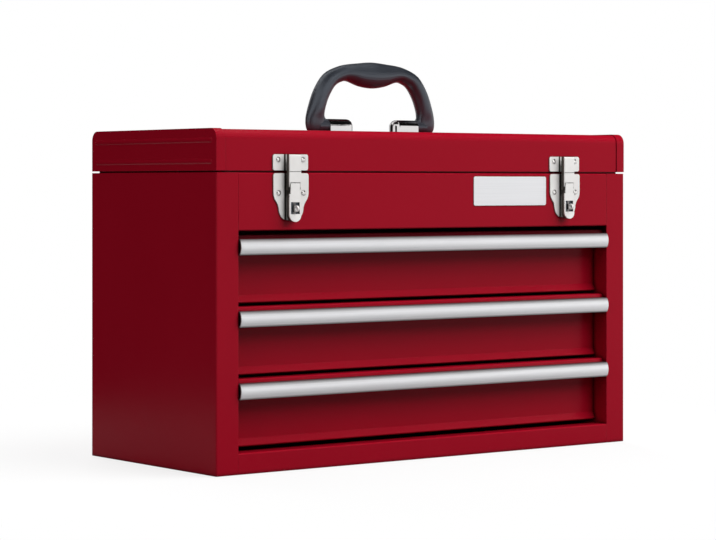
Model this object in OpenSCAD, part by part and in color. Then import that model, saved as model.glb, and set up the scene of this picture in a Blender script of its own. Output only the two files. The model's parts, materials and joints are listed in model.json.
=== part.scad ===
// Portable steel tool box with three drawers under a hinged lid.
// The origin is the centre of the base, +Z is up and the drawers face -Y.

/* [Case] */
// Width over the two side panels
case_w = 510; // [400:1:640]
// Depth from the front panel to the back panel
case_d = 219; // [200:1:300]
// Thickness of the case and lid sheet
sheet = 0.8; // [0.6:0.1:1.2]
// Width of each front stile
stile_w = 24.5; // [20:0.5:36]
// Height of the sill rail under the drawers
sill_h = 19.5; // [14:0.5:30]
// Height of the panel above the drawers
rail_h = 53.9; // [50:0.1:90]
// Depth of the jambs behind the front face
jamb_d = 40; // [34:1:50]
// Depth of the sill and of the opening's head
reveal_d = 20; // [12:1:28]
// Inset of the upstanding lip along the top of the case
lip_inset = 3.1; // [2.9:0.1:6]
// Height of that lip above the case
lip_h = 6; // [3:0.5:10]
// Length left without a lip at each corner
lip_relief = 9; // [6:1:20]

/* [Drawers] */
// Height of one drawer front
drawer_h = 64; // [58:1:110]
// Gap between two drawer fronts
drawer_gap = 2.6; // [2:0.1:5]
// Gap between the sill and the lowest drawer
sill_gap = 3.9; // [2:0.1:6]
// Gap between the highest drawer and the panel above it
head_gap = 3.7; // [2:0.1:6]
// Gap between a drawer front and a jamb
jamb_gap = 0.8; // [0.5:0.1:2]
// Sheet thickness of the drawers
drawer_sheet = 0.8; // [0.6:0.1:1.2]
// Depth of the finger recess behind the front face
recess_d = 19.5; // [15:0.5:26]
// Height of the outward kick along the bottom of a drawer front
kick_h = 7.5; // [4:0.5:12]
// Depth of that kick
kick_d = 4; // [1:0.5:8]
// Distance of a drawer's face behind the front face of the case
front_set = 4.4; // [1:0.1:5]
// Height of the edge above the pull
brow_h = 3.9; // [2:0.1:8]
// How far that edge leans back
brow_d = 1.2; // [0.6:0.1:4]
// Width of a pan less the width of its drawer front, on each side
pan_inset = 12.2; // [11:0.1:20]
// Height of the pan's side walls
pan_h = 45; // [30:1:52]
// Height of the pan's back wall
pan_back_h = 38; // [20:1:44]
// How far a drawer pulls out
drawer_travel = 130; // [60:1:150]

/* [Pulls] */
// Height of the pull strip
pull_h = 14.8; // [10:0.1:20]
// How far the edges of the strip stand out of the front face
pull_edge = 1.5; // [1.4:0.1:3]
// How much further its middle stands out
pull_crown = 2.5; // [1:0.1:5]
// Wall of the hollow strip
pull_wall = 1.2; // [0.8:0.1:2]
// Depth of the hook under the drawer front
pull_hook = 6; // [3:0.5:10]

/* [Runners] */
// Sheet thickness of the runners
runner_t = 0.8; // [0.6:0.1:1.2]
// Length of the edge turned down along each pan's rim
rim_drop = 4; // [3:0.5:6]
// Clearance under and over the rim in its runner
rim_play = 0.3; // [0.2:0.05:0.8]
// Clearance between the rim and the runner's back
rim_side = 0.8; // [0.6:0.1:1.2]
// Width of the rear posts that carry the runners
post_w = 28; // [16:1:40]

/* [Lid] */
// Gap between the case and the lid
seam_gap = 1.6; // [1:0.1:3]
// Height of the lid above that gap
lid_h = 39.2; // [36:0.1:80]
// Outer radius along the top edges
lid_r = 9.3; // [6:0.1:16]
// Width of the end caps' flange over the lid sheet
cap_flange = 10; // [6:0.5:16]
// Height of the folded hem inside the lid's lower edge
hem_h = 5; // [3:0.5:7]
// How far the stiffening beads stand out of the end caps
bead_out = 1; // [0.6:0.1:1.6]
// Radius of a bead's round section
bead_r = 3.4; // [3:0.1:4.5]
// Height of the lower bead above the lid's edge
bead_low = 8.6; // [8:0.1:12]
// Height of the upper bead above the lid's edge
bead_high = 28.2; // [16:0.1:30]
// Distance from a bead's end to the front or back face
bead_end = 9; // [8:1:40]

/* [Hinge] */
// Distance from each end of the hinge to the side of the case
hinge_inset = 35; // [20:1:120]
// Width of a leaf on its panel
hinge_leaf = 13; // [10:0.5:20]
// Thickness of a leaf
hinge_t = 0.9; // [0.7:0.1:1.2]
// Outer radius of the knuckles
knuckle_r = 2.2; // [2:0.1:3]
// Radius of the hinge pin
hinge_pin_r = 1.2; // [0.8:0.05:1.3]
// Number of knuckles
knuckles = 9; // [5:2:15]
// Number of rivets in each leaf
hinge_rivets = 6; // [3:1:10]

/* [Latches] */
// Distance of each latch's middle from the side of the case
latch_inset = 83.3; // [50:0.1:150]
// Width of the latch plates
latch_w = 40.2; // [36:0.1:50]
// Length of the latch plate on the case
latch_len = 43.6; // [42:0.1:46]
// Thickness of the latch plates
latch_plate_t = 1.2; // [0.8:0.1:1.5]
// Height of the strike on the lid
strike_h = 15; // [13:0.1:20]
// Thickness of the lever's and claw's sheet
latch_t = 1; // [0.8:0.1:1.2]
// Width of the claw and of the lever's face
claw_w = 13.2; // [13:0.1:16]
// Distance of the lever's face from the front face of the case
lever_out = 8; // [7.8:0.1:9]
// Length of the lever below its pivot
lever_len = 43.6; // [42:0.1:46]
// Distance from the lever's pivot down to the claw's pivot
claw_throw = 12.4; // [11:0.1:13]
// Gap between the claw's walls and the plates
claw_gap = 1.9; // [0.3:0.1:2]
// Distance from one rivet of a latch to the latch's middle
latch_rivet_x = 14.2; // [13:0.1:17]
// Distance of the window in the lever below its pivot
window_drop = 30.8; // [30:0.1:31.5]
// Width of that window
window_w = 10; // [6:0.1:10.2]
// How far the lever's thumb tab is turned out
tab_out = 0.6; // [0:0.1:2.5]
// Radius of the padlock eye
eye_r = 1.9; // [1.6:0.1:2.1]
// Distance of the eye below the lever's pivot
eye_drop = 31.3; // [30.8:0.1:31.8]
// Thickness of the lug that holds the eye
eye_lug_t = 2; // [1.2:0.1:3]

/* [Handle] */
// Distance of the handle in front of the lid's middle
handle_front = 9.5; // [0:0.5:20]
// Height of the handle's axis above the lid sheet
handle_axis_h = 7.2; // [7.1:0.05:8.4]
// Distance from the middle of the lid to each foot's middle
foot_x = 70; // [66:0.5:80]
// Height of the grip's middle above the axis
grip_rise = 51.6; // [48:0.1:70]
// Radius of the handle's steel pins
handle_pin_r = 4.95; // [4:0.05:5]
// Outer radius of the saddles
saddle_r = 7; // [6.6:0.1:7]
// Inner end of each saddle from the middle of the lid
saddle_x0 = 25.2; // [20:0.1:32]
// Outer end of each saddle
saddle_x1 = 55.8; // [50:0.1:56]
// Radius of the hubs by which the grip turns on its pins
hub_r = 6.5; // [6.2:0.1:6.6]
// Width of the saddles' flanges
saddle_flange = 9; // [8:0.5:12]

/* [Label] */
// Width of the bare plate on the front
label_w = 95.3; // [40:0.1:120]
// Height of that plate
label_h = 29; // [15:0.5:32]
// Distance of its middle from the right side of the case
label_inset = 156.2; // [140:0.1:200]
// Distance of its middle below the top of the case
label_drop = 17.7; // [17:0.1:36]
// Thickness of that plate
label_t = 0.6; // [0.4:0.1:1]

/* [Fasteners] */
// Radius of the rivets' heads
rivet_head_r = 2.7; // [2.2:0.1:3.2]
// Radius of the rivets' shanks
rivet_r = 1.5; // [1.2:0.1:1.8]
// Height of the rivets' heads
rivet_head_h = 1.2; // [0.8:0.1:1.6]

/* [Hidden] */

red = [0.56, 0.06, 0.12];
nickel = [0.80, 0.80, 0.78];
brushed = [0.82, 0.83, 0.85];
zinc = [0.62, 0.63, 0.65];
charcoal = [0.11, 0.12, 0.14];

$fn = 48;
// Bend radius at the middle of the sheet, and the steps that round one bend
bend_r = 1;
bend_steps = 3;
// Running clearance between a pin and its bore
pin_play = 0.05;
// Clearance between pieces that pass each other
pass = 0.3;
// Hair line between the latch rail and the stiles
joint_line = 0.15;
// Height of the flanges by which the panels are welded together
weld_flange = 12;
// Overlap of the parts of one piece, which are one metal
bite = 0.3;

front_y = -case_d / 2;
back_y = case_d / 2;
side_x = case_w / 2;
open_x = side_x - stile_w;
drawers = 3;
pitch = drawer_h + drawer_gap;
head_z = sill_h + sill_gap + drawers * pitch - drawer_gap + head_gap;
case_h = head_z + rail_h;
lid_z = case_h + seam_gap;
lid_top = lid_z + lid_h;
shell_top = lid_top - sheet;
floor_z = head_z + sheet;

panel_y = front_y + recess_d;
pan_y0 = panel_y + drawer_sheet;
front_x = open_x - jamb_gap;
pan_x = front_x - pan_inset;
rim_x = open_x - runner_t - rim_side;
post_y1 = back_y - 21.5;
post_y0 = post_y1 - post_w;
runner_y0 = pan_y0 + 3.2;
runner_y1 = post_y1;
pan_y1 = runner_y1 - 2;
// Height of the rim's top above the bottom of its drawer front
rim_z = drawer_sheet + pan_h;
stop_w = 2;
stop_h = 0.75 * rim_side;

function drawer_z(k) = sill_h + sill_gap + (drawers - k) * pitch;

hinge_len = case_w - 2 * hinge_inset;
axis_y = back_y + knuckle_r;
axis_z = case_h + seam_gap / 2;
knuckle_w = hinge_len / knuckles;

latch_x = side_x - latch_inset;
label_x = side_x - label_inset;
plate_top = case_h - 0.6;
pivot_y = front_y - lever_out + 3.5;
pivot_z = plate_top - 1.8;
claw_z = pivot_z - claw_throw;
lever_y = front_y - lever_out;
strike_z = lid_z + 0.4;
lid_front = front_y + sheet;
// Outer faces, from the middle of a latch, of the claw's walls, the lever's walls and the ears
claw_x = claw_w / 2;
lever_x = claw_x - latch_t - pass;
ear_x = lever_x - latch_t - pass;
eye_y = lever_y - eye_r - 0.5;
eye_z = pivot_z - eye_drop;

handle_y = -handle_front;
handle_z = shell_top + handle_axis_h;

// Plane geometry -----------------------------------------------------------

function unit(v) = v / norm(v);
function right_of(v) = [v[1], -v[0]];
function turned(v, angle) = [v[0] * cos(angle) - v[1] * sin(angle), v[0] * sin(angle) + v[1] * cos(angle)];
function backwards(p) = [for (i = [len(p) - 1:-1:0]) p[i]];
function mirrored(p) = [for (q = p) [-q[0], q[1]]];

// An open path moved by d to the right of its direction
function shifted(p, d) = [for (i = [0:len(p) - 1]) let (
    a = i > 0 ? unit(p[i] - p[i - 1]) : unit(p[1] - p[0]),
    b = i < len(p) - 1 ? unit(p[i + 1] - p[i]) : a,
    m = unit(a + b)
) p[i] + right_of(m) * d / (m * a)];

// The arc of radius r that rounds the corner at q between p and s
function corner(p, q, s, r, steps) = let (
    a = unit(q - p),
    b = unit(s - q),
    turn = atan2(cross(a, b), a * b),
    arm = right_of(a) * r * sign(turn),
    centre = q - a * r * tan(abs(turn) / 2) - arm
) [for (i = [0:steps]) centre + turned(arm, turn * i / steps)];

function rounded(p, r, steps) = [for (i = [0:len(p) - 1])
    each i == 0 || i == len(p) - 1 ? [p[i]] : corner(p[i - 1], p[i], p[i + 1], r, steps)];

// Outline of a bent sheet: its outer face follows p and its metal lies to the right
function folded(p, t) = let (mid = rounded(shifted(p, t / 2), bend_r, bend_steps))
    concat(shifted(mid, -t / 2), backwards(shifted(mid, t / 2)));

function bezier(a, b, c, d, steps) = [for (i = [0:steps]) let (u = i / steps, v = 1 - u)
    a * v * v * v + b * 3 * v * v * u + c * 3 * v * u * u + d * u * u * u];

module along_x(x0, x1) translate([x0, 0, 0]) rotate([90, 0, 90]) linear_extrude(x1 - x0) children();
module along_y(y0, y1) translate([0, y1, 0]) rotate([90, 0, 0]) linear_extrude(y1 - y0) children();
module along_z(z0, z1) translate([0, 0, z0]) linear_extrude(z1 - z0) children();

// A plate or block between two corners
module block(low, high) translate(low) cube(high - low);

module pin_x(x0, x1, y, z, r) translate([x0, y, z]) rotate([0, 90, 0]) cylinder(h = x1 - x0, r = r);

// A rectangle with round corners, centred on the origin
module round_rect(w, h, r) {
    square([w, h - 2 * r], center = true);
    square([w - 2 * r, h], center = true);
    for (x = [-1, 1], y = [-1, 1]) translate([x * (w / 2 - r), y * (h / 2 - r)]) circle(r);
}

// Draws a left-hand piece, or its mirror image on the right
module on_side(side) if (side < 0) children(); else mirror([1, 0, 0]) children();

// A domed rivet along +Z from a face at z = 0, through a stack of metal below it
module rivet(stack) {
    dome_r = (rivet_head_r * rivet_head_r + rivet_head_h * rivet_head_h) / (2 * rivet_head_h);
    intersection() {
        translate([0, 0, rivet_head_h - dome_r]) sphere(dome_r);
        cylinder(h = rivet_head_h, r = rivet_head_r + 1);
    }
    translate([0, 0, -stack - bite]) cylinder(h = stack + 2 * bite, r = rivet_r);
    translate([0, 0, -stack - 0.8]) cylinder(h = 0.8, r = rivet_head_r - 0.5);
}

// The hole for such a rivet
module rivet_hole(stack) translate([0, 0, -stack - 1]) cylinder(h = stack + 2, r = rivet_r + pin_play);

// Case ---------------------------------------------------------------------

// Lip along the top of a panel whose outer face is at zero, with the inside to the right
function lip_path(fold_h) = [[0, case_h - fold_h], [0, case_h], [lip_inset, case_h],
    [lip_inset, case_h + lip_h]];

module lip_outline(fold_h) polygon(folded(lip_path(fold_h), sheet));

module case_side(side) color(red) on_side(side) {
    jamb = [[-side_x, back_y], [-side_x, front_y], [-open_x, front_y],
        [-open_x, front_y + jamb_d], [-open_x - 6, front_y + jamb_d]];
    stile = [[-side_x, back_y], [-side_x, front_y], [-open_x, front_y]];
    along_z(sheet, floor_z) polygon(folded(backwards(jamb), sheet));
    along_z(0, case_h) polygon(folded(backwards(stile), sheet));
    along_y(front_y + lip_relief, back_y - lip_relief) translate([-side_x, 0]) lip_outline(8);
    along_x(-side_x + lip_relief, -open_x) translate([front_y, 0]) lip_outline(8);
}

module case_back() color(red) {
    inner = side_x - sheet;
    flange_y = back_y - lip_relief + pass;
    pan = [[-inner, flange_y], [-inner, back_y], [inner, back_y], [inner, flange_y]];
    difference() {
        along_z(sheet, case_h) polygon(folded(pan, sheet));
        at_hinge_rivets() rivet_hole(3);
    }
    difference() {
        along_x(lip_relief - side_x, side_x - lip_relief)
            translate([back_y, 0]) mirror([1, 0]) lip_outline(8);
        at_hinge_rivets() rivet_hole(3);
    }
}

module case_bottom() color(red) {
    y0 = front_y + sheet;
    y1 = back_y - sheet;
    inner = side_x - sheet;
    block([-inner + 1, y0, 0], [inner - 1, y0 + 2, sheet]);
    block([-inner, y0 + 1, 0], [inner, y1, sheet]);
    // Upturned flanges behind the sill rail, along the sides and in front of the back
    block([-open_x, y0, 0], [open_x, y0 + sheet, weld_flange]);
    for (side = [-1, 1]) on_side(side)
        block([-inner, y0 + jamb_d, 0], [-inner + sheet, post_y0 - pass, weld_flange]);
    block([-inner + weld_flange, y1 - sheet, 0], [inner - weld_flange, y1, weld_flange]);
}

module sill_rail() color(red) {
    path = [[front_y, 0], [front_y, sill_h], [front_y + reveal_d, sill_h],
        [front_y + reveal_d, sill_h - 8]];
    along_x(-open_x, open_x) polygon(folded(path, sheet));
}

module latch_rail() color(red) {
    edge = open_x - joint_line;
    path = [[front_y + reveal_d, head_z], [front_y, head_z], [front_y, case_h],
        [front_y + lip_inset, case_h], [front_y + lip_inset, case_h + lip_h]];
    difference() {
        union() {
            along_x(-edge, edge) polygon(folded(path, sheet));
            // Tabs that lap behind the stiles
            for (side = [-1, 1]) on_side(side) {
                block([-open_x - weld_flange, front_y + sheet, floor_z + 2],
                    [-edge + 8, front_y + 2 * sheet, case_h - 10]);
                block([-edge + 1, front_y + sheet - bite, floor_z + 3],
                    [-edge + 7, front_y + sheet + bite, case_h - 11]);
            }
        }
        at_latch_rivets() rivet_hole(3);
    }
}

module compartment_floor() color(red) {
    inner = side_x - sheet;
    y0 = front_y + 2 * sheet;
    y1 = back_y - sheet;
    rise = floor_z + weld_flange;
    block([-inner, y0, floor_z], [inner, y1 - weld_flange, floor_z + sheet]);
    block([-inner + 2 * sheet, y1 - weld_flange - 1, floor_z], [inner - 2 * sheet, y1, floor_z + sheet]);
    block([-inner, y0, floor_z], [-inner + sheet, y1 - weld_flange, rise]);
    block([inner - sheet, y0, floor_z], [inner, y1 - weld_flange, rise]);
    block([-open_x + 10, y0, floor_z], [open_x - 10, y0 + sheet, rise]);
    block([-inner + weld_flange, y1 - sheet, floor_z], [inner - weld_flange, y1, rise]);
}

module rear_post(side) color(red) on_side(side) {
    inner = side_x - sheet;
    path = [[-inner, post_y0], [-open_x, post_y0], [-open_x, post_y1], [-inner, post_y1]];
    along_z(sheet, floor_z) polygon(folded(backwards(path), sheet));
}

// Channel that carries the rim of one drawer pan
module runner(k, side) color(zinc) on_side(side) {
    z0 = drawer_z(k) + rim_z - rim_drop - drawer_sheet - rim_play - runner_t;
    z1 = drawer_z(k) + rim_z + rim_play + runner_t;
    reach = -pan_x - 2;
    path = [[reach, z0], [-open_x, z0], [-open_x, z1], [reach, z1]];
    along_y(runner_y0, runner_y1) polygon(folded(path, runner_t));
    // Closed rear end, and the stop at the front end
    block([-open_x, runner_y1 - runner_t, z0], [reach, runner_y1, z1]);
    block([-open_x + runner_t - bite, runner_y0 + stop_w, z0 + 1.6],
        [-open_x + runner_t + stop_h, runner_y0 + 2 * stop_w, z1 - 1.6]);
}

module label_plate() color(brushed)
    along_y(front_y - label_t, front_y) translate([label_x, case_h - label_drop])
        round_rect(label_w, label_h, 2);

// Hinge --------------------------------------------------------------------

// Places its children at each hinge rivet, on the case's leaf
module at_hinge_rivets() for (i = [0:hinge_rivets - 1])
    translate([(i - (hinge_rivets - 1) / 2) * (hinge_len - 2 * weld_flange) / (hinge_rivets - 1),
        back_y + hinge_t, axis_z - hinge_leaf / 2 - knuckle_r]) rotate([-90, 0, 0]) children();

// The same on the lid's leaf
module at_lid_hinge_rivets() for (i = [0:hinge_rivets - 1])
    translate([(i - (hinge_rivets - 1) / 2) * (hinge_len - 2 * weld_flange) / (hinge_rivets - 1),
        back_y - sheet + hinge_t, axis_z + hinge_leaf / 2 + knuckle_r]) rotate([-90, 0, 0]) children();

// One knuckle and its tab; up is 1 for the lid's leaf and -1 for the case's
module knuckle(i, up) {
    x0 = -hinge_len / 2 + i * knuckle_w + 0.2;
    x1 = x0 + knuckle_w - 0.4;
    difference() {
        union() {
            pin_x(x0, x1, axis_y, axis_z, knuckle_r);
            block([x0, back_y, min(axis_z, axis_z + up * (knuckle_r + 1.4))],
                [x1, back_y + hinge_t, max(axis_z, axis_z + up * (knuckle_r + 1.4))]);
        }
        pin_x(x0 - 1, x1 + 1, axis_y, axis_z, hinge_pin_r + pin_play);
    }
}

module hinge_leaf_case() color(nickel) {
    z1 = axis_z - knuckle_r - 0.5;
    difference() {
        block([-hinge_len / 2, back_y, axis_z - hinge_leaf - knuckle_r], [hinge_len / 2, back_y + hinge_t, z1]);
        at_hinge_rivets() rivet_hole(3);
    }
    for (i = [0:2:knuckles - 1]) knuckle(i, -1);
}

module hinge_leaf_lid() color(nickel) {
    y0 = back_y - sheet;
    z0 = axis_z + knuckle_r + 0.5;
    difference() {
        block([-hinge_len / 2, y0, z0], [hinge_len / 2, y0 + hinge_t, axis_z + hinge_leaf + knuckle_r]);
        at_lid_hinge_rivets() rivet_hole(3);
    }
    // Joggle from the lid's face out to the knuckles
    block([-hinge_len / 2, y0, z0], [hinge_len / 2, back_y + hinge_t, z0 + hinge_t]);
    for (i = [1:2:knuckles - 1]) knuckle(i, 1);
}

module hinge_pin() color(nickel)
    pin_x(-hinge_len / 2 - 0.8, hinge_len / 2 + 0.8, axis_y, axis_z, hinge_pin_r);

module hinge_rivets_case() color(nickel) at_hinge_rivets() rivet(hinge_t + sheet);

module hinge_rivets_lid() color(nickel) at_lid_hinge_rivets() rivet(hinge_t + sheet);

// Drawers ------------------------------------------------------------------

module drawer_front(k) color(red) {
    z = drawer_z(k);
    under = z + drawer_h - brow_h - pull_h + pull_wall;
    face_y = front_y + front_set;
    path = [[panel_y + 12, z], [panel_y - kick_d, z], [panel_y, z + kick_h], [panel_y, under],
        [face_y, under], [face_y, z + drawer_h - brow_h], [face_y + brow_d, z + drawer_h],
        [pan_y0, z + drawer_h], [pan_y0, z + drawer_h - 12]];
    along_x(-front_x, front_x) polygon(folded(path, drawer_sheet));
}

module drawer_pan(k) color(red) {
    z = drawer_z(k) + drawer_sheet;
    t = drawer_sheet;
    // Bottom, side walls and rims in one folded sheet
    half = [[t - rim_x, z + pan_h - rim_drop - t], [t - rim_x, z + pan_h - t], [-pan_x, z + pan_h - t],
        [-pan_x, z]];
    path = concat(half, backwards(mirrored(half)));
    difference() {
        along_y(pan_y0, pan_y1) polygon(folded(backwards(path), t));
        // The rims start behind the front ends of the runners
        for (side = [-1, 1]) on_side(side)
            block([-rim_x - 1, pan_y0 - 1, z + pan_h / 2], [-pan_x - bend_r - 1, runner_y0 + 1, z + pan_h + 1]);
    }
    block([-pan_x + t - bite, pan_y1 - t, z + t - bite], [pan_x - t + bite, pan_y1, z + pan_back_h]);
    for (side = [-1, 1]) on_side(side) {
        // Flange welded to the drawer front
        block([-pan_x - 8, pan_y0, z + 4], [-pan_x + t, pan_y0 + t, z + pan_h - 16]);
        // Stop near the rear end of the rim
        block([-rim_x - stop_h, runner_y0 + 2 * stop_w + drawer_travel + 0.2, z + pan_h - rim_drop - t],
            [-rim_x + bite, runner_y0 + 3 * stop_w + drawer_travel + 0.2, z + pan_h - 2]);
    }
}

// Hollow aluminium strip, clipped to the front of a drawer
module drawer_pull(k) color(brushed) {
    z = drawer_z(k) + drawer_h - brow_h - pull_h;
    crown_r = (pull_h * pull_h / 4 + pull_crown * pull_crown) / (2 * pull_crown);
    face = [front_y - pull_edge - pull_crown + crown_r, z + pull_h / 2];
    along_x(-front_x, front_x) {
        difference() {
            intersection() {
                translate(face) circle(crown_r, $fn = 96);
                translate([front_y - 20, z]) square([20 + front_set, pull_h]);
            }
            intersection() {
                translate(face) circle(crown_r - pull_wall, $fn = 96);
                translate([front_y - 20, z + pull_wall])
                    square([20 + front_set - 0.8, pull_h - 2 * pull_wall]);
            }
        }
        translate([front_y, z]) square([front_set + pull_hook, pull_wall]);
    }
}

// Latches ------------------------------------------------------------------

// Places its children at the rivets of the latch plates, facing forward
module at_latch_rivets() for (x = [-latch_x, latch_x], side = [-1, 1])
    translate([x + side * latch_rivet_x, front_y - latch_plate_t, plate_top - 18.4])
        rotate([90, 0, 0]) children();

// The same for the strikes on the lid
module at_strike_rivets() for (x = [-latch_x, latch_x], side = [-1, 1])
    translate([x + side * latch_rivet_x, lid_front - latch_plate_t, strike_z + strike_h - 4.8])
        rotate([90, 0, 0]) children();

// Right half of the plate's shield, from the top middle round to the tip
function shield_half() = let (w = latch_w / 2, tip = plate_top - latch_len, neck = plate_top - 18)
    concat([[0, plate_top]],
        corner([0, plate_top], [w, plate_top], [w, neck], 2.5, 6),
        bezier([w, neck], [w, neck - 8], [w - 5.6, neck - 8], [w - 6, neck - 16], 10),
        bezier([w - 6.2, neck - 17], [w - 7, tip + 4], [w - 11, tip], [w - 14, tip], 8));

module latch_plate(side) color(nickel) translate([side * latch_x, 0, 0]) {
    y0 = front_y - latch_plate_t;
    eye_wall = 0.95;
    difference() {
        along_y(y0, front_y) polygon(concat(shield_half(), backwards(mirrored(shield_half()))));
        translate([-side * latch_x, 0, 0]) at_latch_rivets() rivet_hole(3);
    }
    // Ears that carry the lever
    for (ear = [-1, 1]) on_side(ear) difference() {
        union() {
            pin_x(-ear_x, -ear_x + latch_t, pivot_y, pivot_z, 2.2);
            block([-ear_x, pivot_y, pivot_z - 2.2], [-ear_x + latch_t, y0 + bite, plate_top]);
        }
        pin_x(-ear_x - 1, -ear_x + 2, pivot_y, pivot_z, lever_pin_r + pin_play);
    }
    // Lug with the padlock eye
    difference() {
        union() {
            pin_x(-eye_lug_t / 2, eye_lug_t / 2, eye_y, eye_z, eye_r + eye_wall);
            block([-eye_lug_t / 2, eye_y, eye_z - eye_r - eye_wall],
                [eye_lug_t / 2, y0 + bite, eye_z + eye_r + eye_wall]);
        }
        pin_x(-eye_lug_t, eye_lug_t, eye_y, eye_z, eye_r);
    }
}

module latch_plate_rivets() color(nickel) at_latch_rivets() rivet(latch_plate_t + sheet);

lever_pin_r = 1.2;
claw_pin_r = 1;
// Distance from the claw's pivot at which its lower edge passes the lever's upper edge
sweep_r = 5.5;

module lever_pin(side) color(nickel) translate([side * latch_x, 0, 0])
    pin_x(-lever_x, lever_x, pivot_y, pivot_z, lever_pin_r);

// Outline of the lever's face: notched beside the claw's walls, round at the lower end
module lever_outline(z0) {
    neck = claw_z - 5.2;
    translate([-claw_x, z0 + claw_x]) square([2 * claw_x, neck - z0 - claw_x]);
    translate([-lever_x, neck - 1]) square([2 * lever_x, claw_z + sweep_r - 0.6 - neck + 1]);
    translate([0, z0 + claw_x]) circle(claw_x);
}

module latch_lever(side) color(nickel) translate([side * latch_x, 0, 0]) {
    z0 = pivot_z - lever_len;
    wall_y1 = front_y - latch_plate_t - pass;
    window_z = pivot_z - window_drop;
    face = lever_y + latch_t;
    difference() {
        union() {
            // Face whose lower end is turned out as a thumb tab
            intersection() {
                along_x(-claw_x, claw_x) polygon([[lever_y, claw_z + 8], [lever_y, z0 + 7],
                    [lever_y - tab_out, z0], [lever_y - tab_out + latch_t, z0], [face, z0 + 6.9],
                    [face, claw_z + 8]]);
                along_y(lever_y - 5, face + 1) lever_outline(z0);
            }
            for (wall = [-1, 1]) on_side(wall) {
                along_x(-lever_x, -lever_x + latch_t) polygon([[face - 0.5, claw_z - 12],
                    [face - 0.5, claw_z + 4.2], [pivot_y - 2.2, claw_z + 5.2], [pivot_y - 2.2, pivot_z],
                    [pivot_y + 2.2, pivot_z], [wall_y1, pivot_z - 4], [wall_y1, claw_z - 6]]);
                pin_x(-lever_x, -lever_x + latch_t, pivot_y, pivot_z, 2.2);
            }
        }
        for (wall = [-1, 1]) on_side(wall) {
            pin_x(-lever_x - 1, -lever_x + 2, pivot_y, pivot_z, lever_pin_r + pin_play);
            pin_x(-lever_x - 1, -lever_x + 2, pivot_y, claw_z, claw_pin_r + pin_play);
        }
        block([-window_w / 2, lever_y - 2, window_z - 5.5], [window_w / 2, face + 1, window_z + 5.5]);
    }
}

module claw_pin(side) color(nickel) translate([side * latch_x, 0, 0]) {
    pin_x(-claw_x - 0.6, claw_x + 0.6, pivot_y, claw_z, claw_pin_r);
    for (end = [-1, 1]) on_side(end) pin_x(-claw_x - 0.6, -claw_x - 0.1, pivot_y, claw_z, 1.7);
}

// Draw claw: a channel over the strike whose walls reach down to the lever's pin
module latch_claw(side) color(nickel) translate([side * latch_x, 0, 0]) {
    top = strike_z + strike_h;
    back = front_y - latch_plate_t - claw_gap;
    edge = claw_z + sweep_r;
    difference() {
        union() {
            // Face from the lever up to the rounded top
            along_x(-claw_x, claw_x) polygon([[lever_y, edge], [lever_y, top - 1.6], [lever_y + 0.5, top - 0.4],
                [lever_y + 1.6, top], [lever_y + 2.2, top - 1], [lever_y + latch_t, top - 2],
                [lever_y + latch_t, edge + 0.6]]);
            // Nib above the strike's hook
            block([-claw_x, lever_y + latch_t / 2, top - 3], [claw_x, lid_front - latch_plate_t - 4 - pass, top - 2]);
            for (wall = [-1, 1]) on_side(wall) {
                along_x(-claw_x, -claw_x + latch_t) polygon([[lever_y, edge], [lever_y, top - 1.6],
                    [lever_y + 0.5, top - 0.4], [lever_y + 1.6, top], [back, top], [back, claw_z + 4],
                    [pivot_y + 2.2, claw_z], [pivot_y - 2.2, claw_z]]);
                pin_x(-claw_x, -claw_x + latch_t, pivot_y, claw_z, 2.4);
            }
        }
        for (wall = [-1, 1]) on_side(wall)
            pin_x(-claw_x - 1, -claw_x + 2, pivot_y, claw_z, claw_pin_r + pin_play);
        // Fold line across the face at the seam of the lid
        block([-claw_x - 1, lever_y - 1, axis_z - 0.3], [claw_x + 1, lever_y + 0.4, axis_z + 0.3]);
    }
}

// Plate on the lid with the hook that the claw draws on
module strike(side) color(nickel) translate([side * latch_x, 0, 0]) {
    y0 = lid_front - latch_plate_t;
    hook_w = claw_x - latch_t - 1;
    difference() {
        along_y(y0, lid_front) translate([0, strike_z + strike_h / 2]) round_rect(latch_w, strike_h, 2.2);
        translate([-side * latch_x, 0, 0]) at_strike_rivets() rivet_hole(3);
    }
    along_x(-hook_w, hook_w) polygon([[y0 + bite, strike_z + 4], [y0, strike_z + 4], [y0 - 4, strike_z + 6.5],
        [y0 - 4, strike_z + 10], [y0 - 3, strike_z + 10], [y0 - 3, strike_z + 7.2], [y0, strike_z + 5.4],
        [y0 + bite, strike_z + 5.4]]);
}

module strike_rivets() color(nickel) at_strike_rivets() rivet(latch_plate_t + sheet);

// Lid ----------------------------------------------------------------------

// Section of the lid with its outer face inset by d, from the lower front edge round to the back
function lid_path(d) = rounded([[front_y + d, lid_z], [front_y + d, lid_top - d],
    [back_y - d, lid_top - d], [back_y - d, lid_z]], lid_r - d, 8);

module lid_section(d0, d1) polygon(concat(lid_path(d0), backwards(lid_path(d1))));

module lid_shell() color(red) difference() {
    inner = side_x - sheet;
    union() {
        along_x(-inner, inner) lid_section(sheet, 2 * sheet);
        // Hems folded inside the lower edges
        block([-inner, front_y + 2 * sheet - bite, lid_z], [inner, front_y + 3 * sheet, lid_z + hem_h]);
        block([-inner, back_y - 3 * sheet, lid_z], [inner, back_y - 2 * sheet + bite, lid_z + hem_h]);
    }
    at_lid_hinge_rivets() rivet_hole(3);
    at_strike_rivets() rivet_hole(3);
    at_saddle_rivets() rivet_hole(3);
}

// A bead along Y whose axis lies at x from the cap's outer face
module bead(x, z, r) {
    y0 = front_y + bead_end;
    y1 = back_y - bead_end;
    translate([x, y1, z]) rotate([90, 0, 0]) cylinder(h = y1 - y0, r = r);
    for (y = [y0, y1]) translate([x, y, z]) sphere(r);
}

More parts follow.
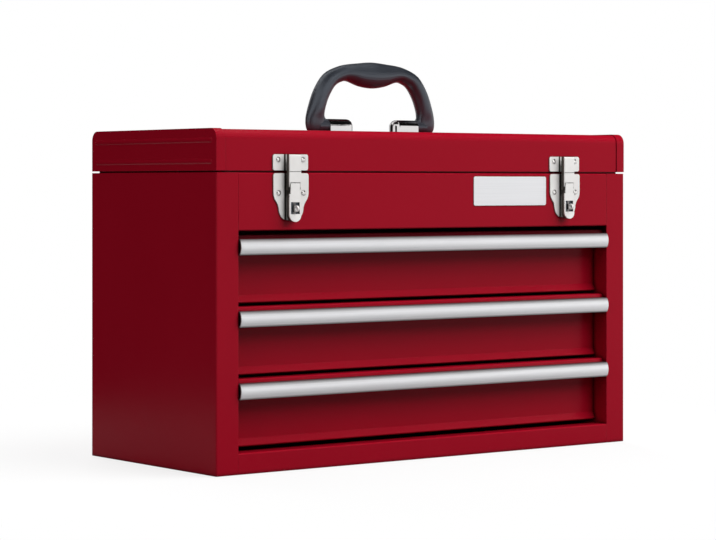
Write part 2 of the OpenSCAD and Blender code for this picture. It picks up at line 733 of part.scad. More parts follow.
module lid_cap(side) color(red) on_side(side) {
    inner = side_x - sheet;
    bead_x = -side_x - bead_out + bead_r;
    difference() {
        union() {
            along_x(-side_x, -inner) polygon(lid_path(0));
            along_x(-inner - bite, -side_x + cap_flange) lid_section(0, sheet);
            intersection() {
                for (h = [bead_low, bead_high]) bead(bead_x, lid_z + h, bead_r);
                block([-side_x - 5, front_y, lid_z], [-inner, back_y, lid_top]);
            }
            block([-inner - bite, front_y + 11, lid_z], [-inner + sheet, back_y - 11, lid_z + hem_h]);
        }
        for (h = [bead_low, bead_high]) bead(bead_x, lid_z + h, bead_r - sheet);
    }
}

// Handle -------------------------------------------------------------------

// Places its children at the saddles' rivets, facing up
module at_saddle_rivets() for (side = [-1, 1], row = [-1, 1])
    translate([side * (saddle_x0 + saddle_x1) / 2, handle_y + row * (saddle_r + saddle_flange / 2), shell_top + 1.2])
        children();

// Bathtub form: an arch of radius r along X with a round end at x = end
module tub(end, open, r) {
    height = handle_z - shell_top;
    arch = concat([[-r, -height]], [for (i = [0:16]) turned([-r, 0], -180 * i / 16)], [[r, -height]]);
    translate([0, handle_y, handle_z]) {
        along_x(open, end - r) polygon(arch);
        translate([end - r, 0, 0]) rotate([0, 0, -90]) rotate_extrude(angle = 180)
            polygon([for (p = arch) if (p[0] >= -0.001) [max(p[0], 0), p[1]], [0, -height]]);
    }
}

module handle_saddle(side) color(nickel) on_side(side) {
    wall = saddle_r - handle_pin_r - pin_play;
    length = saddle_x1 - saddle_x0;
    difference() {
        union() {
            tub(-saddle_x0, -saddle_x1, saddle_r);
            translate([-(saddle_x0 + saddle_x1) / 2, handle_y, shell_top]) linear_extrude(1.2)
                round_rect(length - 6, 2 * (saddle_r + saddle_flange), 3);
        }
        pin_x(-saddle_x1 - 1, -saddle_x0 - wall, handle_y, handle_z, handle_pin_r + pin_play);
        block([-saddle_x1 - 1, handle_y - handle_pin_r - pin_play, shell_top - 1],
            [-saddle_x0 - wall - 2, handle_y + handle_pin_r + pin_play, handle_z]);
        on_side(-1) at_saddle_rivets() rivet_hole(3);
    }
}

module saddle_rivets() color(nickel) at_saddle_rivets() rivet(1.2 + sheet);

module handle_pin(side) color(nickel) on_side(side)
    pin_x(-foot_x, -saddle_x0 - saddle_r, handle_y, handle_z, handle_pin_r);

// Stations along one half of the handle, from the foot to the middle of the grip:
// distance from the middle, height over the axis, half width and half thickness
stations = [
    [foot_x, -6.3, 6.0, 3.0], [foot_x, -4.0, 9.4, 5.2], [foot_x, 0.6, 10.8, 6.3],
    [foot_x, 7.6, 10.6, 6.9], [foot_x - 1.8, 17.6, 8.8, 8.6], [foot_x - 7.7, 32.6, 8.2, 9.5],
    [foot_x - 17.6, grip_rise - 5.6, 8.0, 10.0], [foot_x - 31, grip_rise + 0.6, 7.8, 10.4],
    [foot_x - 42, grip_rise + 1.8, 9.0, 10.9], [foot_x - 56, grip_rise + 0.4, 11.9, 11.8],
    [0, grip_rise, 13.2, 12.4]
];
spans = concat(stations, [for (i = [len(stations) - 2:-1:0])
    [-stations[i][0], stations[i][1], stations[i][2], stations[i][3]]]);
span_steps = 4;
ring_points = 32;

// Catmull-Rom blend of four stations
function blend(a, b, c, d, u) = 0.5 * (2 * b + (c - a) * u + (2 * a - 5 * b + 4 * c - d) * u * u
    + (3 * b - a - 3 * c + d) * u * u * u);
function station(i) = spans[max(0, min(len(spans) - 1, i))];
rings = concat([for (i = [0:len(spans) - 2], j = [0:span_steps - 1])
    blend(station(i - 1), station(i), station(i + 1), station(i + 2), j / span_steps)],
    [spans[len(spans) - 1]]);

// Direction of the handle's middle line at ring i
function heading(i) = i == 0 ? [0, 1] : i == len(rings) - 1 ? [0, -1] :
    unit([rings[i + 1][0] - rings[i - 1][0], rings[i + 1][1] - rings[i - 1][1]]);

module handle_body() {
    points = [for (i = [0:len(rings) - 1]) let (r = rings[i], n = right_of(heading(i)))
        for (j = [0:ring_points - 1]) let (angle = 360 * j / ring_points)
            [r[0] + n[0] * r[2] * cos(angle), r[3] * sin(angle), r[1] + n[1] * r[2] * cos(angle)]];
    last = len(rings) - 1;
    faces = concat(
        [[for (j = [0:ring_points - 1]) j]],
        [[for (j = [ring_points - 1:-1:0]) last * ring_points + j]],
        [for (i = [0:last - 1], j = [0:ring_points - 1]) let (k = (j + 1) % ring_points)
            [i * ring_points + j, (i + 1) * ring_points + j, (i + 1) * ring_points + k, i * ring_points + k]]);
    polyhedron(points, faces, convexity = 6);
}

module handle_grip() color(charcoal) {
    hub_x = saddle_x1 + pass;
    leg_x = foot_x - 10.6;
    difference() {
        union() {
            translate([0, handle_y, handle_z]) handle_body();
            for (side = [-1, 1]) on_side(side) {
                pin_x(-foot_x + 2, -hub_x, handle_y, handle_z, hub_r);
                // Fillet between the hub and the leg
                translate([0, handle_y, handle_z]) along_y(-4, 4) polygon(concat(
                    bezier([-hub_x - 0.6, hub_r - 0.3], [-leg_x, hub_r - 0.3], [-leg_x - 1, hub_r + 0.4],
                        [-leg_x - 2.4, 11], 6),
                    [[-foot_x, 11], [-foot_x, 1], [-hub_x - 0.6, 1]]));
            }
        }
        for (side = [-1, 1]) on_side(side)
            pin_x(-foot_x, -foot_x + 20, handle_y, handle_z, handle_pin_r + pin_play);
    }
}

case_side(-1);  // case_side_left
case_side(1);  // case_side_right
case_back();
case_bottom();
sill_rail();
latch_rail();
compartment_floor();
rear_post(-1);  // rear_post_left
rear_post(1);  // rear_post_right
runner(1, -1);  // runner_1_left
runner(1, 1);  // runner_1_right
runner(2, -1);  // runner_2_left
runner(2, 1);  // runner_2_right
runner(3, -1);  // runner_3_left
runner(3, 1);  // runner_3_right
latch_plate(-1);  // latch_plate_left
latch_plate(1);  // latch_plate_right
latch_plate_rivets();
lever_pin(-1);  // lever_pin_left
lever_pin(1);  // lever_pin_right
label_plate();
hinge_leaf_case();
hinge_pin();
hinge_rivets_case();
lid_shell();
lid_cap(-1);  // lid_cap_left
lid_cap(1);  // lid_cap_right
strike(-1);  // strike_left
strike(1);  // strike_right
strike_rivets();
hinge_leaf_lid();
hinge_rivets_lid();
handle_saddle(-1);  // handle_saddle_left
handle_saddle(1);  // handle_saddle_right
saddle_rivets();
handle_grip();
handle_pin(-1);  // handle_pin_left
handle_pin(1);  // handle_pin_right
drawer_front(1);  // drawer_front_1
drawer_pan(1);  // drawer_pan_1
drawer_pull(1);  // drawer_pull_1
drawer_front(2);  // drawer_front_2
drawer_pan(2);  // drawer_pan_2
drawer_pull(2);  // drawer_pull_2
drawer_front(3);  // drawer_front_3
drawer_pan(3);  // drawer_pan_3
drawer_pull(3);  // drawer_pull_3
latch_lever(-1);  // latch_lever_left
claw_pin(-1);  // claw_pin_left
latch_claw(-1);  // latch_claw_left
latch_lever(1);  // latch_lever_right
claw_pin(1);  // claw_pin_right
latch_claw(1);  // latch_claw_right
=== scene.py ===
"""Looks of the portable tool box: paint, plated steel, brushed strips, grip, studio and camera."""
import json
import math

import bpy
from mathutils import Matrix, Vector


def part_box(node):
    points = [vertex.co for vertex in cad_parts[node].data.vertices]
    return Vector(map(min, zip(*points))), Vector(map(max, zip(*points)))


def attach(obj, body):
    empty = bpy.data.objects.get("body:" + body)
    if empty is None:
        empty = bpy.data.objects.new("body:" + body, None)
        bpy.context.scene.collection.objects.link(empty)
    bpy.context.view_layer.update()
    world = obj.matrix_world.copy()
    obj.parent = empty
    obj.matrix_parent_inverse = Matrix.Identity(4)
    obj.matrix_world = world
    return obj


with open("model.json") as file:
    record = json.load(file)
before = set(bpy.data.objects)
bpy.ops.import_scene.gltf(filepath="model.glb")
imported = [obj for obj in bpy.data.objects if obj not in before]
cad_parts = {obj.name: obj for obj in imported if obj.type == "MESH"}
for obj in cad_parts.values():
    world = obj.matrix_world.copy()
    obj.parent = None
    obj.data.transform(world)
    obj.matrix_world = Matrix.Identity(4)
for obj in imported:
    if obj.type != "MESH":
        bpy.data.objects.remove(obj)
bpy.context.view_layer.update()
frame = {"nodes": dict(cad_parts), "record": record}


# Shader arithmetic -----------------------------------------------------------

class Signal:
    """A socket of a finish, which takes part in Python arithmetic."""

    def __init__(self, finish, socket):
        self.finish = finish
        self.socket = socket

    def math(self, operation, *others):
        return self.finish.node("ShaderNodeMath", {"operation": operation}, inputs=(self, *others))

    def __add__(self, other):
        return self.math("ADD", other)

    def __sub__(self, other):
        return self.math("SUBTRACT", other)

    def __rsub__(self, other):
        return self.math("MULTIPLY_ADD", -1.0, other)

    def __mul__(self, other):
        return self.math("MULTIPLY", other)

    def __pow__(self, other):
        return self.math("POWER", other)

    def clamped(self):
        return self.math("MAXIMUM", 0.0).math("MINIMUM", 1.0)


class Finish:
    """A procedural material built around one Principled shader."""

    def __init__(self, name, colour, constants):
        self.material = bpy.data.materials.new(name)
        self.material.use_nodes = True
        self.tree = self.material.node_tree
        self.shader = self.tree.nodes["Principled BSDF"]
        self.shader.inputs["Base Color"].default_value = (*colour, 1.0)
        for socket_name, value in constants.items():
            self.shader.inputs[socket_name].default_value = value

    def node(self, kind, settings=None, output=0, inputs=()):
        """Adds a node; inputs are in order, or a dictionary by socket name."""
        node = self.tree.nodes.new(kind)
        for name, value in (settings or {}).items():
            setattr(node, name, value)
        pairs = inputs.items() if isinstance(inputs, dict) else enumerate(inputs)
        for key, value in pairs:
            self.connect(node.inputs[key], value)
        return Signal(self, node.outputs[output])

    def connect(self, socket, value):
        if isinstance(value, Signal):
            self.tree.links.new(value.socket, socket)
        else:
            socket.default_value = value

    def feed(self, signals):
        for socket_name, value in signals.items():
            self.connect(self.shader.inputs[socket_name], value)

    def place(self, scale=(1.0, 1.0, 1.0)):
        """The object's own coordinates in metres, stretched by scale."""
        coordinates = self.node("ShaderNodeTexCoord", output="Object")
        return self.node("ShaderNodeMapping", inputs={"Vector": coordinates, "Scale": scale})

    def noise(self, scale, detail, stretch=(1.0, 1.0, 1.0)):
        return self.node("ShaderNodeTexNoise", {"noise_dimensions": "3D"}, output="Fac", inputs={
            "Vector": self.place(stretch), "Scale": scale, "Detail": detail})

    def blend(self, share, low, high):
        """A colour between low and high, each a colour or a signal."""
        ends = [end if isinstance(end, Signal) else (*end, 1.0) for end in (low, high)]
        return self.node("ShaderNodeMix", {"data_type": "RGBA"}, output=2,
                         inputs={0: share, 6: ends[0], 7: ends[1]})

    def openness(self, reach):
        """1 in the open, falling to 0 in gaps and corners within reach; the finishes paint shade
        with it.
        """
        return self.node("ShaderNodeAmbientOcclusion", {"samples": 8}, output="AO",
                         inputs={"Distance": reach})

    def along(self, axis):
        """The object's own X, Y or Z in metres."""
        coordinates = self.node("ShaderNodeTexCoord", output="Object")
        return self.node("ShaderNodeSeparateXYZ", output=axis, inputs=(coordinates,))

    def step(self, value, low, high):
        """0 at low and 1 at high, with an even slope between; low may be the larger of the two."""
        return self.node("ShaderNodeMapRange", {"clamp": True}, inputs={
            "Value": value, "From Min": low, "From Max": high})

    def soft_edges(self, radius):
        """The surface's direction with its sharp edges eased."""
        return self.node("ShaderNodeBevel", {"samples": 4}, output="Normal",
                         inputs={"Radius": radius})

    def relief(self, height, strength, distance, edges=None):
        """Fine relief over the surface, or over its eased edges."""
        inputs = {"Height": height, "Strength": strength, "Distance": distance}
        if edges:
            inputs["Normal"] = self.soft_edges(edges)
        return self.node("ShaderNodeBump", output="Normal", inputs=inputs)


# Places that the finishes and the latches' details follow --------------------

PULLS = [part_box("drawer_pull_%d" % number) for number in (1, 2, 3)]
PULL_H = PULLS[0][1].z - PULLS[0][0].z
PULL_PITCH = PULLS[1][0].z - PULLS[2][0].z
TOP_PULL_TOP = PULLS[0][1].z
LOW_PULL_FOOT = PULLS[2][0].z

SHEET_T = 0.001
TAB_OUT = 0.0006
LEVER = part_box("latch_lever_left")
RIGHT_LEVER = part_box("latch_lever_right")
LEVER_X = (LEVER[0].x + LEVER[1].x) / 2
LEVER_HALF = (LEVER[1].x - LEVER[0].x) / 2
LEVER_FOOT = LEVER[0].z
LEVER_FACE = LEVER[0].y + TAB_OUT
LEVER_BACK = LEVER_FACE + SHEET_T
LATCH_X = (RIGHT_LEVER[0].x + RIGHT_LEVER[1].x) / 2
LATCH_PITCH = RIGHT_LEVER[0].x - LEVER[0].x
WINDOW_UP = 0.0128
WINDOW_Z = LEVER_FOOT + WINDOW_UP

PLATE_FACE = -0.1107
STRIKE_FACE = -0.1099
SEAM_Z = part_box("latch_plate_left")[1].z


# Finishes --------------------------------------------------------------------

def red_enamel():
    """Baked gloss enamel with a faint orange peel and slow changes of depth, with shade painted
    into gaps and corners and a painted shadow of the rail over the band above the top strip.
    """
    rail_shadow_h, rail_shadow_fade = 0.0076, 0.0004
    near, far = 0.006, 0.012
    thin_film, full_film = (0.325, 0.0026, 0.0140), (0.355, 0.0034, 0.0162)
    # Colour of the shade painted into gaps and corners.
    gap_shade = (0.02, 0.0, 0.001)

    paint = Finish("red_enamel", (0.33, 0.004, 0.016), {
        "Specular IOR Level": 0.14, "Specular Tint": (1.0, 0.55, 0.60, 1.0)})
    slow = paint.noise(scale=9.0, detail=2.0)
    peel = paint.noise(scale=900.0, detail=2.0)
    # Painted shadow of the rail over the band just above the top strip, darker than the shade in
    # other gaps.
    over_pull = paint.along("Z") - TOP_PULL_TOP
    rail_shadow_band = paint.step(over_pull, 0.0, rail_shadow_fade) \
        * paint.step(over_pull, rail_shadow_h, rail_shadow_h - rail_shadow_fade)
    # Painted shade in gaps and corners, from how open the surface is within near.
    gap_shade_factor = (paint.openness(near) * 1.15).clamped() ** 2.0
    # Darker painted shade, used for the rail's shadow above the top strip.
    deep = paint.openness(far) ** 4.0
    film = paint.blend(slow, thin_film, full_film)
    paint.feed({
        "Base Color": paint.blend(gap_shade_factor * (1.0 - rail_shadow_band) + deep * rail_shadow_band, gap_shade, film),
        "Roughness": slow * 0.08 + 0.20,
        "Normal": paint.relief(peel, strength=0.05, distance=0.0003, edges=0.0007)})
    return paint.material


def nickel_plate():
    """Satin nickel on pressed steel: pale plates and bright rivet heads, with shade painted on the
    inner walls, on the plate beside the levers and in gaps.
    """
    half_latch, lever_side = 0.0080, 0.0054
    ear_reach, seam_fade, fade, near = 0.0047, 0.0003, 0.0001, 0.0025
    satin, pale = (0.84, 0.82, 0.80), (0.96, 0.945, 0.925)
    # Colours of the shade painted on the walls and beside the levers.
    dark_wall_shade, light_wall_shade = (0.03, 0.025, 0.021), (0.10, 0.085, 0.072)
    # Colour of the shade painted into gaps.
    gap_shade = (0.012, 0.009, 0.008)

    plate = Finish("nickel", (0.80, 0.77, 0.74), {"Specular IOR Level": 0.3})
    cloud = plate.noise(scale=120.0, detail=4.0)
    grain = plate.noise(scale=2600.0, detail=2.0)
    depth = plate.along("Y")
    aside = plate.along("X").math("ABSOLUTE").math("SUBTRACT", LATCH_X).math("ABSOLUTE")
    middle = plate.step(aside, half_latch, half_latch - 4 * fade)

    # Rivet heads stand proud of the plate below the seam and of the strike above it.
    above = plate.step(plate.along("Z"), SEAM_Z - seam_fade, SEAM_Z + seam_fade)
    plane = above * (STRIKE_FACE - PLATE_FACE) + (PLATE_FACE - fade)
    head = (1.0 - middle) * plate.step(depth - plane, 0.0, -2 * fade)

    # Painted shade on the walls between the plate and the lever's sheet, and on the plate's face
    # close beside the lever.
    wall = middle * plate.step(depth, PLATE_FACE - fade, PLATE_FACE - 5 * fade) \
        * plate.step(depth, LEVER_BACK - fade, LEVER_BACK + fade)
    beside_lever_shade = middle * plate.step(aside, lever_side, lever_side + 3 * fade) \
        * plate.step(depth, PLATE_FACE - 6 * fade, PLATE_FACE - 4 * fade) \
        * plate.step(depth, PLATE_FACE + ear_reach, PLATE_FACE + ear_reach - 5 * fade)

    bright = plate.blend(cloud, satin, pale)
    wall_shade = plate.blend(cloud, dark_wall_shade, light_wall_shade)
    plated = plate.blend(wall.math("MAXIMUM", beside_lever_shade), bright, wall_shade)
    plate.feed({
        # Painted shade in gaps, from how open the surface is within near.
        "Base Color": plate.blend(plate.openness(near) ** 2.0, gap_shade, plated),
        "Metallic": head * 0.85 + 0.15,
        "Roughness": cloud * 0.10 + head * -0.20 + 0.26,
        "Normal": plate.relief(grain, strength=0.05, distance=0.0002, edges=0.0003)})
    return plate.material


def saddle_chrome():
    """Bright chrome with the slight waviness of a deep pressing."""
    hazed, clear = (0.70, 0.68, 0.68), (0.78, 0.76, 0.76)

    chrome = Finish("saddle_chrome", (0.88, 0.88, 0.90), {"Metallic": 1.0})
    wave = chrome.noise(scale=160.0, detail=1.0)
    haze = chrome.noise(scale=40.0, detail=3.0)
    chrome.feed({
        "Base Color": chrome.blend(haze, hazed, clear),
        "Roughness": wave * 0.05 + 0.06,
        "Normal": chrome.relief(wave, strength=0.06, distance=0.0006)})
    return chrome.material


def brushed_strip():
    """Satin aluminium brushed along its length, with shade painted where the long edges roll over
    and in gaps.
    """
    top_roll, inner_roll, inner_end = 0.0034, 0.0030, 0.0055
    top_share, inner_share = 0.85, 0.15
    low_roll, overlap, label_fade, near = 0.0020, 0.0004, 0.001, 0.012
    # Colour of the painted shade on the rolled edges and in gaps, dark with a red cast.
    rolled_edge_shade = (0.04, 0.010, 0.014)
    matt, silver = (0.80, 0.80, 0.82), (0.95, 0.95, 0.97)

    strip = Finish("brushed_silver", (0.60, 0.60, 0.63), {
        "Metallic": 0.52, "Specular IOR Level": 0.3})
    hairs = strip.noise(scale=1500.0, detail=5.0, stretch=(0.006, 1.0, 1.0))
    height = strip.along("Z")
    rise = (height - LOW_PULL_FOOT).math("MODULO", PULL_PITCH)
    # Painted shade along the rolled top and bottom edges of each strip, but not on the label above
    # the top strip.
    upper = strip.step(rise, PULL_H + overlap, PULL_H - top_roll) * top_share \
        + strip.step(rise, PULL_H - inner_roll, PULL_H - inner_end) * inner_share
    lower = strip.step(rise, -overlap, low_roll)
    label = strip.step(height, TOP_PULL_TOP, TOP_PULL_TOP + label_fade)
    flat = upper.math("MINIMUM", lower).math("MAXIMUM", label)
    bright = strip.blend(hairs, matt, silver)
    strip.feed({
        # Painted shade on the rolled edges and in gaps.
        "Base Color": strip.blend(flat * strip.openness(near) ** 1.4, rolled_edge_shade, bright),
        "Roughness": hairs * 0.16 + 0.34,
        "Normal": strip.relief(hairs, strength=0.14, distance=0.0002, edges=0.0009)})
    return strip.material


def zinc_plate():
    """Zinc-plated runner steel with a soft crystal pattern."""
    dark_grain, light_grain = (0.46, 0.48, 0.51), (0.64, 0.655, 0.68)

    zinc = Finish("zinc", (0.55, 0.57, 0.60), {"Metallic": 1.0})
    crystals = zinc.node("ShaderNodeTexVoronoi", output="Distance", inputs={
        "Vector": zinc.place(), "Scale": 220.0})
    share = (crystals * 1.2).clamped()
    zinc.feed({
        "Base Color": zinc.blend(share, dark_grain, light_grain),
        "Roughness": share * 0.15 + 0.34})
    return zinc.material


def charcoal_grip():
    """Moulded plastic with a fine even grain and a cool sheen."""
    dark, light = (0.019, 0.022, 0.028), (0.026, 0.029, 0.037)

    grip = Finish("charcoal", (0.018, 0.020, 0.026), {
        "Specular IOR Level": 1.0, "Specular Tint": (0.78, 0.88, 1.0, 1.0)})
    grain = grip.noise(scale=1400.0, detail=2.0)
    slow = grip.noise(scale=30.0, detail=2.0)
    grip.feed({
        "Base Color": grip.blend(slow, dark, light),
        "Roughness": grain * 0.12 + 0.28,
        "Normal": grip.relief(grain, strength=0.15, distance=0.0003)})
    return grip.material


FINISHES = {
    "red_enamel": red_enamel(),
    "nickel": nickel_plate(),
    "saddle_chrome": saddle_chrome(),
    "brushed_silver": brushed_strip(),
    "zinc": zinc_plate(),
    "charcoal": charcoal_grip(),
}


def paint_nodes():
    """Gives every piece of the box the finish of its slot."""
    slots = {part["node"]: part["material_slot"] for part in frame["record"]["subparts"]}
    for name, piece in frame["nodes"].items():
        piece.data.materials.clear()
        piece.data.materials.append(FINISHES[slots[name]])


paint_nodes()


# Latch details ---------------------------------------------------------------

UPRIGHT = (math.radians(90.0), 0.0, 0.0)
ACROSS = (1.0, 0.0, 0.0)
UPWARD = (0.0, 0.0, 1.0)


def new_start(adder, **settings):
    """A primitive, alone in the selection, with its place and turn in its mesh."""
    bpy.ops.object.select_all(action="DESELECT")
    adder(**settings)
    bpy.ops.object.transform_apply(location=True, rotation=True, scale=True)
    return bpy.context.object


def edit_all():
    bpy.ops.object.mode_set(mode="EDIT")
    bpy.ops.mesh.select_all(action="SELECT")


def pick(piece, wanted):
    """Selects the vertices for whose place wanted is true."""
    bpy.ops.mesh.select_all(action="DESELECT")
    bpy.ops.mesh.select_mode(type="VERT")
    bpy.ops.object.mode_set(mode="OBJECT")
    for vertex in piece.data.vertices:
        vertex.select = wanted(vertex.co)
    bpy.ops.object.mode_set(mode="EDIT")


def thicken(piece, thickness, edge):
    """Gives a sheet its thickness and eased edges."""
    bpy.ops.object.mode_set(mode="OBJECT")
    for kind, settings in (("SOLIDIFY", {"thickness": thickness, "offset": 0.0}),
                           ("BEVEL", {"width": edge, "segments": 2, "limit_method": "ANGLE"})):
        modifier = piece.modifiers.new(kind.lower(), kind)
        for key, value in settings.items():
            setattr(modifier, key, value)
        bpy.ops.object.modifier_apply(modifier=modifier.name)
    edit_all()
    bpy.ops.mesh.normals_make_consistent(inside=False)
    bpy.ops.object.mode_set(mode="OBJECT")


def fit_both(piece, name, slot_name):
    """Finishes the left latch's piece and sets a copy, with its own mesh, on the right latch."""
    piece.data.materials.append(FINISHES[slot_name])
    bpy.ops.object.duplicate(linked=False)
    twin = bpy.context.object
    bpy.ops.transform.translate(value=(LATCH_PITCH, 0.0, 0.0))
    bpy.ops.object.transform_apply(location=True, rotation=True, scale=True)
    for side, fitted in (("left", piece), ("right", twin)):
        fitted.name = fitted.data.name = name + "_" + side
        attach(fitted, "lever_" + side)


def lever_rims():
    """Rims folded back round the lower ends of the levers, up to the neck."""
    wall, edge, behind = 0.0008, 0.0002, 0.0003
    straight, fold, margin = 0.0186, 0.0046, 1e-5
    middle = LEVER_FOOT + LEVER_HALF
    rim = new_start(bpy.ops.mesh.primitive_circle_add, vertices=64, radius=LEVER_HALF - wall / 2,
                    location=(LEVER_X, LEVER_FACE + behind, middle), rotation=UPRIGHT)
    edit_all()
    bpy.ops.mesh.bisect(plane_co=(LEVER_X, LEVER_FACE, middle), plane_no=UPWARD, clear_outer=True)
    pick(rim, lambda place: place.z > middle - margin)
    bpy.ops.mesh.extrude_region_move(TRANSFORM_OT_translate={"value": (0.0, 0.0, straight)})
    bpy.ops.mesh.select_all(action="SELECT")
    bpy.ops.mesh.extrude_region_move(TRANSFORM_OT_translate={"value": (0.0, fold, 0.0)})
    thicken(rim, wall, edge)
    fit_both(rim, "lever_rim", "nickel")


def window_shade_pads():
    """Dark sheets behind the levers' windows that stand in for the shade there, each slotted for
    the padlock lug.
    """
    width, height, thickness, edge, behind = 0.0112, 0.0126, 0.0006, 0.0001, 0.0011
    slot_half_w, slot_half_h, margin = 0.0017, 0.0055, 0.0001
    centre = (LEVER_X, LEVER_BACK + behind, WINDOW_Z)
    pad = new_start(bpy.ops.mesh.primitive_plane_add, size=1.0, location=centre, rotation=UPRIGHT)
    edit_all()
    bpy.ops.transform.resize(value=(width, 1.0, height), center_override=centre)
    for end in (-1, 1):
        bpy.ops.mesh.select_all(action="SELECT")
        bpy.ops.mesh.bisect(plane_co=(LEVER_X + end * slot_half_w, centre[1], WINDOW_Z),
                            plane_no=ACROSS)
    for end in (-1, 1):
        bpy.ops.mesh.select_all(action="SELECT")
        bpy.ops.mesh.bisect(plane_co=(LEVER_X, centre[1], WINDOW_Z + end * slot_half_h),
                            plane_no=UPWARD)
    pick(pad, lambda place: abs(place.x - LEVER_X) < slot_half_w + margin
         and abs(place.z - WINDOW_Z) < slot_half_h + margin)
    bpy.ops.mesh.delete(type="ONLY_FACE")
    thicken(pad, thickness, edge)
    fit_both(pad, "window_shade_pad", "charcoal")


def window_tongues(name, rise, height):
    """Bright tongues that reach from the right edges of the windows towards the lugs."""
    length, thickness, edge, behind = 0.0044, 0.0005, 0.0001, 0.0004
    aside, taper = 0.0036, 0.85
    centre = (LEVER_X + aside, LEVER_BACK + behind, WINDOW_Z + rise)
    tongue = new_start(bpy.ops.mesh.primitive_plane_add, size=1.0, location=centre,
                       rotation=UPRIGHT)
    edit_all()
    bpy.ops.transform.resize(value=(length, 1.0, height), center_override=centre)
    pick(tongue, lambda place: place.x < centre[0])
    bpy.ops.transform.resize(value=(1.0, 1.0, taper), center_override=centre)
    thicken(tongue, thickness, edge)
    fit_both(tongue, name, "nickel")


lever_rims()
window_shade_pads()
window_tongues("upper_tongue", rise=0.0010, height=0.0015)
window_tongues("lower_tongue", rise=-0.0026, height=0.0029)


# Studio ----------------------------------------------------------------------

WHITE = (1.0, 1.0, 1.0, 1.0)
BLACK_CLOTH = 0.01
GREY_CLOTH = 0.40


def wired(tree, kind, settings=None, inputs=None):
    """A node of a tree, with its inputs set to values or linked to other nodes' first outputs."""
    node = tree.nodes.new(kind)
    for name, value in (settings or {}).items():
        setattr(node, name, value)
    for key, value in (inputs or {}).items():
        if isinstance(value, bpy.types.NodeSocket):
            tree.links.new(value, node.inputs[key])
        else:
            node.inputs[key].default_value = value
    return node


def seen_share(tree):
    """1 for rays from the eye, from metal and through glass, and 0 for those that light."""
    seen = wired(tree, "ShaderNodeLightPath")
    plain_view = wired(tree, "ShaderNodeMath", {"operation": "MAXIMUM"}, {
        0: seen.outputs["Is Camera Ray"], 1: seen.outputs["Is Glossy Ray"]})
    return wired(tree, "ShaderNodeMath", {"operation": "MAXIMUM"}, {
        0: plain_view.outputs[0], 1: seen.outputs["Is Transmission Ray"]}).outputs[0]


def light_floor(name, size):
    """A floor that is white to the eye and keeps a faint shadow close to the box."""
    near, far = 0.30, 0.62
    near_glow, far_glow = 0.80, 1.0
    bounce_tone, seen_tone = 0.18, 0.85
    bpy.ops.mesh.primitive_plane_add(size=size, location=(0.0, 0.0, -0.0005))
    floor = bpy.context.object
    floor.name = name
    material = bpy.data.materials.new(name)
    material.use_nodes = True
    tree = material.node_tree
    tree.nodes.clear()
    output = wired(tree, "ShaderNodeOutputMaterial")
    place = wired(tree, "ShaderNodeTexCoord")
    reach = wired(tree, "ShaderNodeVectorMath", {"operation": "LENGTH"}, {
        0: place.outputs["Object"]})
    glow_share = wired(tree, "ShaderNodeMapRange", {"clamp": True}, {
        "Value": reach.outputs["Value"], "From Min": near, "From Max": far,
        "To Min": near_glow, "To Max": far_glow})
    eye = seen_share(tree)
    share = wired(tree, "ShaderNodeMath", {"operation": "MULTIPLY"}, {
        0: eye, 1: glow_share.outputs["Result"]})
    tone = wired(tree, "ShaderNodeMapRange", inputs={
        "Value": eye, "To Min": bounce_tone, "To Max": seen_tone})
    matt = wired(tree, "ShaderNodeBsdfDiffuse", inputs={"Color": tone.outputs["Result"]})
    glow = wired(tree, "ShaderNodeEmission", inputs={"Color": WHITE, "Strength": 1.0})
    mix = wired(tree, "ShaderNodeMixShader", inputs={
        0: share.outputs[0], 1: matt.outputs[0], 2: glow.outputs[0]})
    tree.links.new(mix.outputs[0], output.inputs["Surface"])
    floor.data.materials.append(material)


def soft_lamp(name, place, target, size, power):
    """A square softbox that faces its target; metal shows the white room instead of it."""
    light = bpy.data.lights.new(name, "AREA")
    light.shape = "SQUARE"
    light.size = size
    light.energy = power
    lamp = bpy.data.objects.new(name, light)
    lamp.location = place
    lamp.rotation_euler = (Vector(target) - Vector(place)).to_track_quat("-Z", "Y").to_euler()
    lamp.visible_glossy = False
    bpy.context.scene.collection.objects.link(lamp)


def dark_card(name, place, target, width, height, tone=BLACK_CLOTH):
    """A matt dark card that only metal and gloss show, as a studio hangs beside bright work."""
    bpy.ops.mesh.primitive_plane_add(size=1.0)
    card = bpy.context.object
    card.name = name
    card.scale = (width, height, 1.0)
    card.location = place
    card.rotation_euler = (Vector(target) - Vector(place)).to_track_quat("Z", "Y").to_euler()
    card.visible_camera = card.visible_diffuse = False
    card.visible_shadow = card.visible_transmission = False
    material = bpy.data.materials.new(name)
    material.use_nodes = True
    tree = material.node_tree
    tree.nodes.clear()
    output = wired(tree, "ShaderNodeOutputMaterial")
    cloth = wired(tree, "ShaderNodeBsdfDiffuse", inputs={"Color": (tone, tone, tone, 1.0)})
    tree.links.new(cloth.outputs[0], output.inputs["Surface"])
    card.data.materials.append(material)


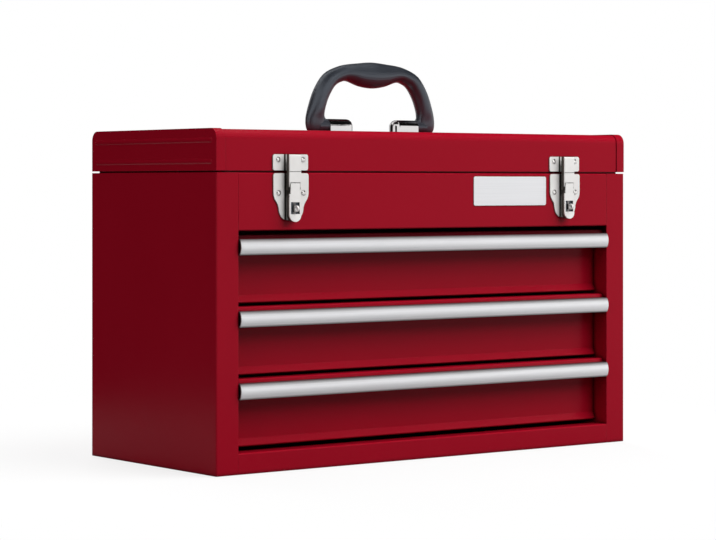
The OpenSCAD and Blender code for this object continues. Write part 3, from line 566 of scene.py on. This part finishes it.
def studio_world():
    """White behind the box, and a dimmer even room that lights it."""
    room_colour, room_strength = (0.97, 0.98, 1.0, 1.0), 0.045
    world = bpy.data.worlds.new("studio")
    bpy.context.scene.world = world
    world.use_nodes = True
    tree = world.node_tree
    tree.nodes.clear()
    output = wired(tree, "ShaderNodeOutputWorld")
    room = wired(tree, "ShaderNodeBackground", inputs={
        "Color": room_colour, "Strength": room_strength})
    white = wired(tree, "ShaderNodeBackground", inputs={"Color": WHITE, "Strength": 1.0})
    mix = wired(tree, "ShaderNodeMixShader", inputs={
        0: seen_share(tree), 1: room.outputs[0], 2: white.outputs[0]})
    tree.links.new(mix.outputs[0], output.inputs["Surface"])


def place_camera():
    """Level view of the front and the left side, from about 2.4 m away."""
    heading = math.radians(37.233)
    eye = Vector((-1.4883, -1.9463, 0.2675))
    data = bpy.data.cameras.new("view")
    data.sensor_width = 36.0
    data.lens = 121.6
    data.shift_y = -0.1201
    camera = bpy.data.objects.new("view", data)
    camera.location = eye
    camera.rotation_euler = (math.radians(90.0), 0.0, -heading)
    bpy.context.scene.collection.objects.link(camera)
    bpy.context.scene.camera = camera


light_floor("floor", 14.0)
studio_world()
soft_lamp("key", (1.35, -1.75, 2.25), (0.0, 0.0, 0.15), 3.0, 125.0)
soft_lamp("top", (0.0, 0.0, 2.6), (0.0, 0.0, 0.3), 2.4, 20.0)
soft_lamp("fill", (-2.8, -0.6, 1.2), (0.0, 0.0, 0.2), 2.0, 25.5)
soft_lamp("rear", (0.6, 2.6, 1.8), (0.0, 0.0, 0.2), 2.0, 70.0)
dark_card("card_left", (-0.60, 0.42, 0.44), (-0.2, -0.1, 0.44), 0.9, 0.88)
dark_card("card_above", (0.95, -0.35, 1.25), (0.0, -0.35, 1.25), 2.9, 1.25)
dark_card("card_front", (-0.95, -1.25, 0.40), (0.0, 0.0, 0.30), 0.9, 1.0)
dark_card("card_back", (1.0, 1.3, 1.30), (0.0, 0.0, 1.30), 2.2, 1.94)
dark_card("card_top", (-0.30, -0.40, 2.0), (-0.30, -0.40, 0.0), 2.0, 2.0)
dark_card("card_floor", (0.0, 0.0, -0.0002), (0.0, 0.0, 1.0), 2.2, 2.2, tone=GREY_CLOTH)
place_camera()
bpy.context.scene.view_settings.view_transform = "Standard"

bpy.context.view_layer.update()
